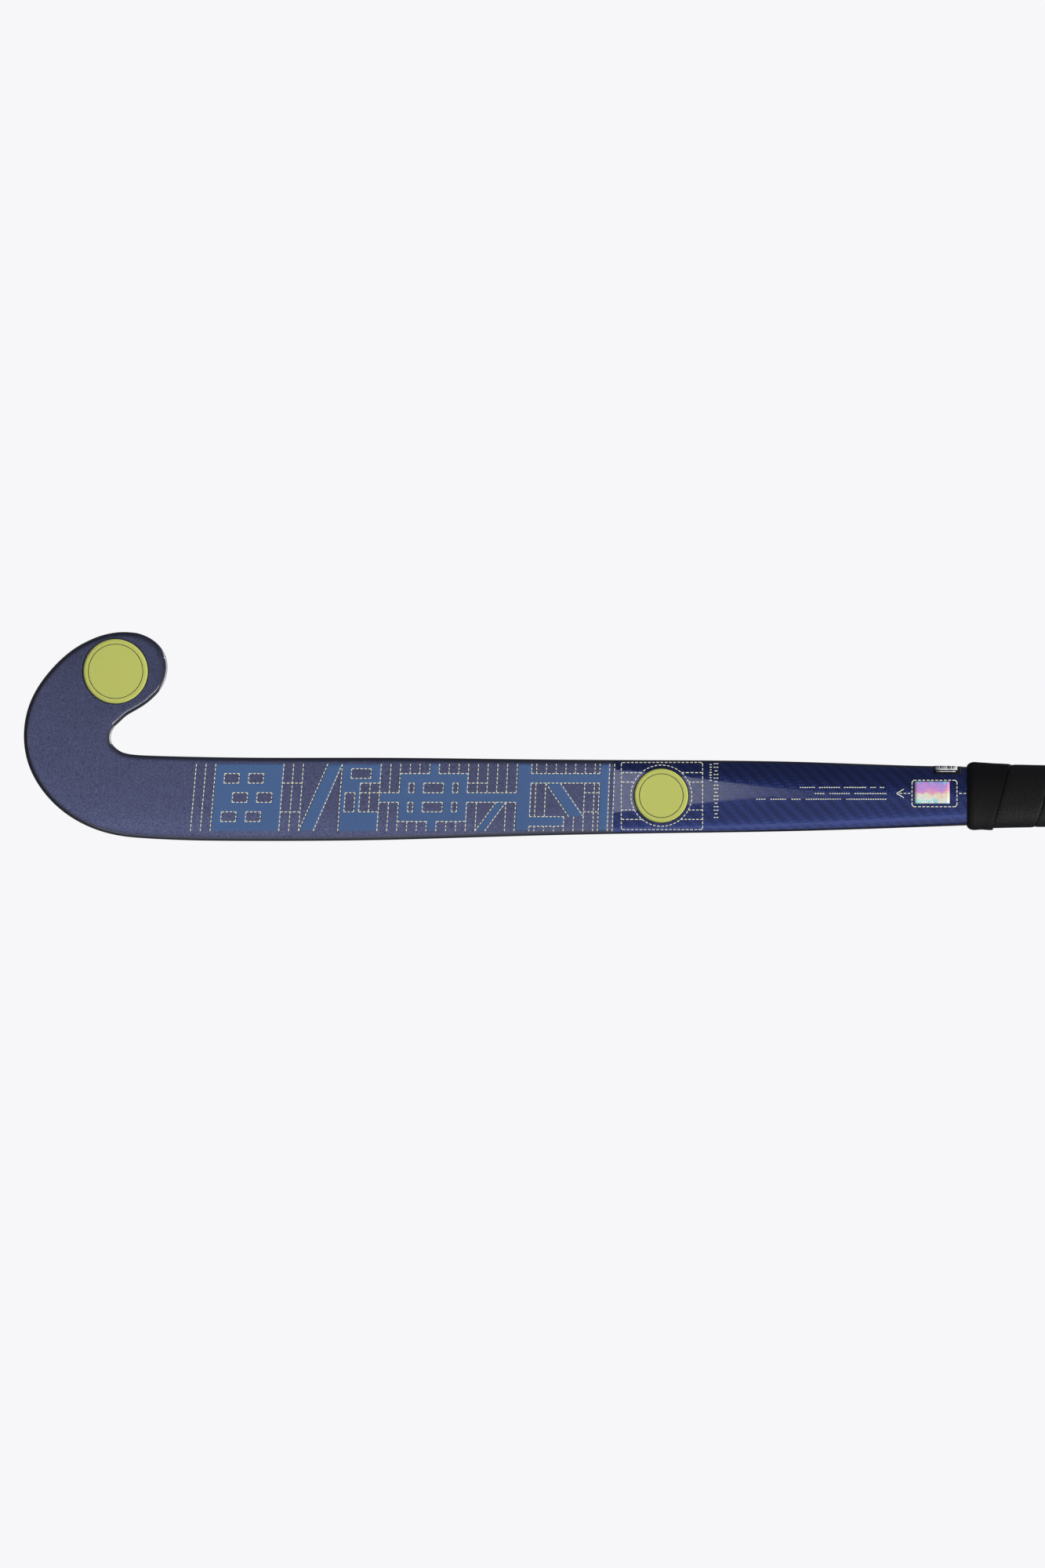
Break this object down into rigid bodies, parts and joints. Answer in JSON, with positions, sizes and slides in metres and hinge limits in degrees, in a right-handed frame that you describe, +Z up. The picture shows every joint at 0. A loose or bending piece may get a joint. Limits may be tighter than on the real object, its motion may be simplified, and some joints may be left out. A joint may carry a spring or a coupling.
{
  "type": "field hockey stick",
  "caption": "Curved-head hollow composite striking stick with a flat playing side, a bowed shaft and a wound handle grip.",
  "frame": {"origin": "on the handle's axis, at the middle of the hand grip", "axes": "+Z up the handle to the butt, -Y the flat playing side, -X the side the toe curls towards, +X the heel side"},
  "size_m": [0.1201, 0.0602, 0.927],
  "materials": {
    "shell": "indigo satin paint on the head, lacquered twill carbon on the upper shaft",
    "carbon_tube": "raw unidirectional carbon and resin",
    "foam": "rigid polyurethane foam",
    "aramid": "resin-bound aramid weave",
    "damping_rubber": "soft visco-elastic rubber",
    "butt_rubber": "matt moulded rubber",
    "underwrap": "thin closed-cell cushion",
    "grip": "matt black polyurethane with a fine leather-like emboss",
    "pattern_print": "satin printed film, blue bands with pale dashed lines",
    "panel_print": "clear lacquered film with pale dashed lines",
    "fine_print": "clear lacquered film with fine pale marks",
    "lime_print": "lime printed film",
    "foil": "diffractive silver foil",
    "label": "laminated sticker with white bars"
  },
  "bodies": {
    "root": {"laminate_shell": "shell", "toe_side_tube": "carbon_tube", "heel_side_tube": "carbon_tube", "head_foam_core": "foam", "handle_foam_plug": "foam", "aramid_impact_plate": "aramid", "damping_strip": "damping_rubber", "butt_cap": "butt_rubber", "grip_underwrap": "underwrap", "grip_tape": "grip", "finishing_tape": "grip", "pattern_film": "pattern_print", "shaft_panel_film": "panel_print", "spec_line_film": "fine_print", "guide_frame_film": "fine_print", "toe_badge": "lime_print", "shaft_badge": "lime_print", "foil_sticker": "foil", "equipment_label": "label"}
  },
  "joints": []
}
